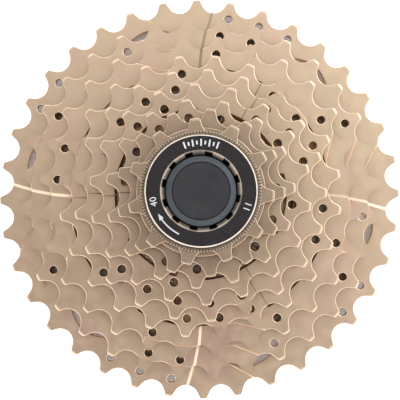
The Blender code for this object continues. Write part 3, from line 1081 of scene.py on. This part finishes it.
def machined_metal(name, color, roughness):
    """Bright turned metal with fine rings from the lathe."""
    nodes = Nodes(name)
    nodes.set(Metallic=1.0)
    rings = nodes.add("ShaderNodeTexNoise", noise_dimensions="1D")
    rings.inputs["Scale"].default_value = 9000.0
    rings.inputs["Detail"].default_value = 2.0
    nodes.link(nodes.radius(), rings.inputs["W"])
    light = tuple(min(1.0, part * 1.08) for part in color)
    nodes.drive("Base Color", nodes.ramp(rings.outputs["Fac"], ((0.3, color), (0.7, light))))
    nodes.drive("Roughness", nodes.spread(rings.outputs["Fac"], roughness - 0.04, roughness + 0.06))
    nodes.drive("Normal", nodes.bump(rings.outputs["Fac"], 0.2, 0.00003))
    return nodes.material


def anodised_black(name):
    nodes = Nodes(name)
    nodes.set(Metallic=0.0, Specular_IOR_Level=0.35)
    speckle = nodes.noise(1800.0, 3.0)
    stops = ((0.35, (0.012, 0.009, 0.009)), (0.75, (0.026, 0.020, 0.019)))
    nodes.drive("Base Color", nodes.ramp(speckle, stops))
    nodes.drive("Roughness", nodes.spread(nodes.noise(300.0), 0.36, 0.48))
    nodes.drive("Normal", nodes.bump(speckle, 0.15, 0.00003))
    return nodes.material


def moulded_plastic(name, dark, light, roughness):
    nodes = Nodes(name)
    nodes.set(Metallic=0.0)
    grain = nodes.noise(1500.0, 3.0)
    nodes.drive("Base Color", nodes.ramp(nodes.noise(160.0, 4.0), ((0.35, dark), (0.7, light))))
    nodes.drive("Roughness", nodes.spread(grain, roughness - 0.06, roughness + 0.08))
    nodes.drive("Normal", nodes.bump(grain, 0.25, 0.00004))
    return nodes.material


def make_pieces():
    nickels = {}
    # Each sprocket's plating is scaled down by its painted shade tone.
    for teeth, shade_tone in COG_SHADE_TONES.items():
        dark = [shade_tone * part for part in NICKEL_DARK]
        light = [shade_tone * part for part in NICKEL_LIGHT]
        nickels[teeth] = plated_steel(f"nickel_plate_{teeth}t", dark, light, 0.34)
    rivet_steel = plated_steel("rivet_steel", (0.55, 0.52, 0.48), (0.66, 0.62, 0.57), 0.35)
    dark, light = (0.60, 0.46, 0.32), (0.70, 0.54, 0.38)
    washer_steel = plated_steel("washer_steel", dark, light, 0.34, WASHER_PAINTED_SHADE_REACH, WASHER_PAINTED_SHADE_LEVEL)
    resin = moulded_plastic("spacer_resin", (0.018, 0.017, 0.017), (0.032, 0.031, 0.030), 0.5)
    plastic = moulded_plastic("carrier_plastic", (0.016, 0.0155, 0.016), (0.028, 0.0265, 0.027), 0.5)
    # A lighter, bluer copy of the carrier plastic: painted light on the plug's shoulder rings.
    painted_light_plastic = moulded_plastic("carrier_ring_painted_light", (0.052, 0.060, 0.066), (0.072, 0.081, 0.088), 0.42)
    black = anodised_black("black_anodised")
    bright = machined_metal("machined_rim", (0.60, 0.53, 0.45), 0.3)
    brown = machined_metal("machined_bevel", (0.42, 0.335, 0.26), 0.34)
    white = moulded_plastic("white_print", (0.66, 0.65, 0.64), (0.76, 0.75, 0.74), 0.5)
    for index, (teeth, _) in enumerate(SPROCKETS):
        make_sprocket(index, nickels[teeth])
    make_spacers(resin)
    make_rivets(rivet_steel)
    make_sleeve(plastic)
    make_plug(plastic, painted_light_plastic)
    make_washer(washer_steel)
    make_lockring(black, bright, brown)
    make_prints(white)


# ---------------------------------------------------------------- studio


def make_floor():
    mesh = bmesh.new()
    bmesh.ops.create_grid(mesh, x_segments=1, y_segments=1, size=FLOOR_SIZE / 2)
    floor = as_object("studio_floor", mesh)
    nodes = Nodes("white_floor")
    nodes.set(Roughness=0.7)
    stops = ((0.3, (0.90, 0.90, 0.90)), (0.7, (0.93, 0.93, 0.93)))
    nodes.drive("Base Color", nodes.ramp(nodes.noise(4.0), stops))
    # Painted shadow: within the part's radius the floor glows far less and in a warmer tint.
    glow_end = PAINTED_SHADOW_RADIUS + PAINTED_SHADOW_EDGE_WIDTH
    edge = nodes.spread(nodes.radius(), 0.0, 1.0, PAINTED_SHADOW_RADIUS, glow_end)
    nodes.drive("Emission Color", nodes.ramp(edge, ((0.0, PAINTED_SHADOW_TINT), (1.0, (1.0, 1.0, 1.0)))))
    glow = nodes.spread(nodes.radius(), PAINTED_SHADOW_GLOW, FLOOR_GLOW, PAINTED_SHADOW_RADIUS, glow_end)
    nodes.drive("Emission Strength", glow)
    floor.data.materials.append(nodes.material)


def sky_map(tree, value, target, from_low, from_high, to_low, to_high):
    """Maps a value smoothly from one range to another, clamped, and links it to target."""
    node = tree.nodes.new("ShaderNodeMapRange")
    node.interpolation_type = "SMOOTHSTEP"
    names = ("From Min", "From Max", "To Min", "To Max")
    for name, number in zip(names, (from_low, from_high, to_low, to_high)):
        node.inputs[name].default_value = number
    tree.links.new(value, node.inputs["Value"])
    if target is not None:
        tree.links.new(node.outputs["Result"], target)
    return node.outputs["Result"]


def sky_math(tree, operation, *values):
    node = tree.nodes.new("ShaderNodeMath")
    node.operation = operation
    for value, slot in zip(values, node.inputs):
        if isinstance(value, float):
            slot.default_value = value
        else:
            tree.links.new(value, slot)
    return node.outputs["Value"]


def sky_dot(tree, direction, towards):
    node = tree.nodes.new("ShaderNodeVectorMath")
    node.operation = "DOT_PRODUCT"
    node.inputs[1].default_value = towards
    tree.links.new(direction, node.inputs[0])
    return node.outputs["Value"]


def make_world():
    world = bpy.data.worlds.new("studio")
    bpy.context.scene.world = world
    world.use_nodes = True
    tree = world.node_tree
    background = tree.nodes["Background"]
    direction = tree.nodes.new("ShaderNodeTexCoord").outputs["Generated"]
    sky = tree.nodes.new("ShaderNodeValToRGB")
    sky.color_ramp.elements[0].color = (*SKY_DIM, 1.0)
    sky.color_ramp.elements[1].color = (*SKY_FULL, 1.0)
    uphill = sky_dot(tree, direction, SKY_UPHILL)
    sky_map(tree, uphill, sky.inputs["Fac"], -SKY_REACH, SKY_REACH, 0.0, 1.0)
    height = sky_dot(tree, direction, (0.0, 0.0, 1.0))
    overhead = sky_map(tree, height, None, ZENITH_EDGE, 1.0, 1.0, ZENITH_SHARE)
    ring = sky_map(tree, height, None, RING_FULL, RING_START, 1.0, 0.0)
    light = sky_math(tree, "MULTIPLY_ADD", ring, RING_LIGHT, overhead)
    for clock_angle, elevation, edge, middle in SKY_GAPS:
        x, y = clock_point(math.cos(math.radians(elevation)), clock_angle)
        towards = sky_dot(tree, direction, (x, y, math.sin(math.radians(elevation))))
        gap = sky_map(tree, towards, None, edge, middle, 1.0, SKY_GAP_LEVEL)
        light = sky_math(tree, "MULTIPLY", light, gap)
    mix = tree.nodes.new("ShaderNodeMix")
    mix.data_type = "RGBA"
    mix.inputs[7].default_value = (*RING_COLOR, 1.0)
    tree.links.new(ring, mix.inputs[0])
    tree.links.new(sky.outputs["Color"], mix.inputs[6])
    tree.links.new(mix.outputs[2], background.inputs["Color"])
    tree.links.new(light, background.inputs["Strength"])


def make_light(name, location, target, size, power, color):
    data = bpy.data.lights.new(name, "AREA")
    data.shape = "DISK"
    data.size = size
    data.energy = power
    data.color = color
    light = bpy.data.objects.new(name, data)
    light.location = location
    light.rotation_euler = (Vector(target) - Vector(location)).to_track_quat("-Z", "Y").to_euler()
    bpy.context.scene.collection.objects.link(light)


def make_camera():
    data = bpy.data.cameras.new("camera")
    data.lens = CAMERA_LENS
    data.sensor_width = 36.0
    data.clip_start = 0.01
    data.clip_end = 20.0
    camera = bpy.data.objects.new("camera", data)
    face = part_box("sprocket_36t")[1].z
    camera.location = (CAMERA_FOOT[0], CAMERA_FOOT[1], face + CAMERA_HEIGHT)
    camera.rotation_euler = Euler((math.radians(CAMERA_TILT[0]), math.radians(CAMERA_TILT[1]), 0.0))
    bpy.context.scene.collection.objects.link(camera)
    bpy.context.scene.camera = camera


def make_studio():
    make_floor()
    make_world()
    make_light("key", (0.55, 0.45, 0.45), (0.0, 0.0, 0.0), 0.35, 1.2, (0.97, 1.0, 1.0))
    bpy.context.scene.view_settings.view_transform = "Standard"


make_pieces()
make_studio()
make_camera()
